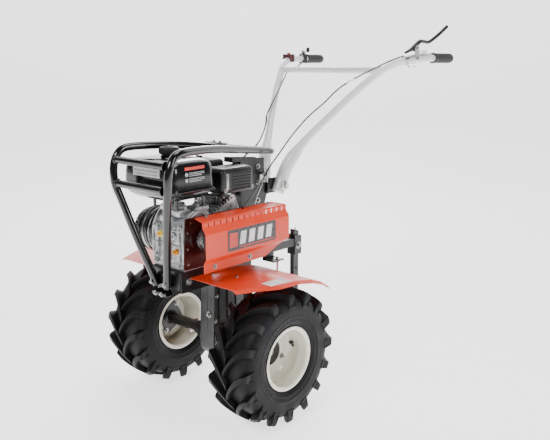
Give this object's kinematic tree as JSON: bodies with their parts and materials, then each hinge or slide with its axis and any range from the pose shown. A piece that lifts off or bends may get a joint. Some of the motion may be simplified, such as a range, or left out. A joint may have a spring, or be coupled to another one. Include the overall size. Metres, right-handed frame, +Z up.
{
  "type": "walk-behind two-wheel tractor",
  "caption": "Walk-behind two-wheel tractor with petrol engine, belt drive, lugged wheels, bumper hoop, rear coulter and height-adjustable handlebar.",
  "frame": {"origin": "on the ground under the middle of the machine's bounding box", "axes": "+Z up, -Y the machine's front, +X its left side"},
  "size_m": [0.74, 1.3894, 1.3806],
  "materials": {
    "tyre_rubber": "matt black moulded rubber",
    "rim_paint": "cream gloss paint on pressed steel",
    "black_paint": "black semi-gloss powder coat",
    "bumper_paint": "black gloss powder coat on tube",
    "orange_paint": "orange-red gloss paint on sheet metal",
    "white_paint": "white gloss powder coat on tube",
    "gear_case_paint": "black satin paint on castings",
    "cast_aluminium": "bare die-cast aluminium",
    "cast_iron": "machined cast iron",
    "plain_steel": "turned steel",
    "zinc_steel": "zinc-plated steel",
    "black_plastic": "black moulded plastic",
    "grip_rubber": "soft black rubber",
    "belt_rubber": "fabric-faced V-belt rubber",
    "orange_plastic": "orange plastic",
    "yellow_plastic": "yellow plastic",
    "red_plastic": "red plastic"
  },
  "bodies": {
    "chassis": {"gearbox": "gear_case_paint", "drive_belt": "belt_rubber", "belt_guard": "black_paint", "belt_cover": "orange_paint", "engine_bed": "black_paint", "bumper_foot": "black_paint", "left_bumper_tube": "bumper_paint", "right_bumper_tube": "bumper_paint", "bumper_upper_bar": "bumper_paint", "bumper_lower_bar": "bumper_paint", "left_fender": "orange_paint", "right_fender": "orange_paint", "handle_column": "black_paint", "pivot_bracket": "black_paint", "pivot_bolt": "zinc_steel", "drawbar": "black_paint", "crankcase": "cast_aluminium", "cylinder": "cast_aluminium", "valve_cover": "cast_aluminium", "blower_housing": "black_paint", "recoil_housing": "black_paint", "fuel_tank": "black_paint", "muffler": "black_paint", "carburettor": "cast_aluminium", "air_filter": "black_plastic", "oil_plug": "orange_plastic", "dipstick": "yellow_plastic", "clutch_cable": "black_plastic", "throttle_cable": "black_plastic", "cable_stop": "zinc_steel"},
    "wheels": {"axle": "plain_steel", "left_hub": "black_paint", "right_hub": "black_paint", "left_rim": "rim_paint", "right_rim": "rim_paint", "left_tyre": "tyre_rubber", "right_tyre": "tyre_rubber"},
    "crank": {"crankshaft": "plain_steel", "flywheel": "cast_iron", "engine_pulley": "plain_steel"},
    "input_shaft": {"input_pulley": "plain_steel"},
    "idler": {"idler_arm": "zinc_steel"},
    "idler_wheel": {"idler_roller": "black_plastic"},
    "handlebar": {"left_handle": "white_paint", "right_handle": "white_paint", "handle_crossbar": "white_paint", "left_grip": "grip_rubber", "right_grip": "grip_rubber", "clutch_bracket": "zinc_steel", "throttle_clamp": "black_paint", "stop_switch": "black_plastic"},
    "clutch": {"clutch_lever": "black_plastic"},
    "throttle": {"throttle_lever": "black_plastic"},
    "stop": {"stop_button": "red_plastic"},
    "governor": {"throttle_arm": "zinc_steel"},
    "choke": {"choke_lever": "black_plastic"},
    "cap": {"fuel_cap": "black_plastic"},
    "starter": {"starter_handle": "black_plastic"},
    "drag_bar": {"coulter": "black_paint"}
  },
  "joints": [
    {"name": "axle_spin", "type": "hinge", "parent": "chassis", "child": "wheels", "pos_m": [0, -0.3533, 0.24034], "axis": [1, 0, 0], "continuous": true},
    {"name": "crank_spin", "type": "hinge", "parent": "chassis", "child": "crank", "pos_m": [0, -0.4983, 0.65], "axis": [1, 0, 0], "continuous": true},
    {"name": "input_spin", "type": "hinge", "parent": "chassis", "child": "input_shaft", "pos_m": [0, -0.2533, 0.63], "axis": [1, 0, 0], "continuous": true},
    {"name": "idler_swing", "type": "hinge", "parent": "chassis", "child": "idler", "pos_m": [0.1195, -0.4383, 0.625], "axis": [1, 0, 0], "range_deg": [0, 8]},
    {"name": "idler_spin", "type": "hinge", "parent": "idler", "child": "idler_wheel", "pos_m": [0.141, -0.3733, 0.648], "axis": [1, 0, 0], "continuous": true},
    {"name": "handlebar_height", "type": "hinge", "parent": "chassis", "child": "handlebar", "pos_m": [0, -0.0493, 0.77], "axis": [1, 0, 0], "range_deg": [-20, 10], "deforming": ["clutch_cable", "throttle_cable"]},
    {"name": "clutch_squeeze", "type": "hinge", "parent": "handlebar", "child": "clutch", "pos_m": [0.326, 0.4367, 1.283], "axis": [-1, 0, 0], "range_deg": [0, 20], "stiffness_Nm_per_rad": 4, "springref_deg": -17.19},
    {"name": "throttle_turn", "type": "hinge", "parent": "handlebar", "child": "throttle", "pos_m": [-0.342, 0.5567, 1.283], "axis": [0, 0, -1], "range_deg": [0, 60]},
    {"name": "governor_turn", "type": "hinge", "parent": "chassis", "child": "governor", "pos_m": [-0.0685, -0.3823, 0.748], "axis": [-1, 0, 0], "range_deg": [0, 24]},
    {"name": "stop_press", "type": "slide", "parent": "handlebar", "child": "stop", "axis": [0, 0, -1], "range_m": [0, 0.003], "stiffness_N_per_m": 100, "springref_m": -0.003},
    {"name": "choke_turn", "type": "hinge", "parent": "chassis", "child": "choke", "pos_m": [-0.1205, -0.3283, 0.722], "axis": [1, 0, 0], "range_deg": [0, 60]},
    {"name": "fuel_cap_turn", "type": "hinge", "parent": "chassis", "child": "cap", "pos_m": [-0.05, -0.5153, 0.93], "axis": [0, 0, 1], "range_deg": [0, 90]},
    {"name": "starter_pull", "type": "slide", "parent": "chassis", "child": "starter", "axis": [0, 0.97, 0.243], "range_m": [0, 0.4], "stiffness_N_per_m": 20, "springref_m": -0.4},
    {"name": "coulter_depth", "type": "slide", "parent": "chassis", "child": "drag_bar", "axis": [0, 0, -1], "range_m": [0, 0.08]}
  ],
  "couplings": [
    {"joint": "input_spin", "follows": "crank_spin", "ratio": 0.7},
    {"joint": "idler_swing", "follows": "clutch_squeeze", "ratio": 0.4},
    {"joint": "governor_turn", "follows": "throttle_turn", "ratio": 0.4}
  ]
}
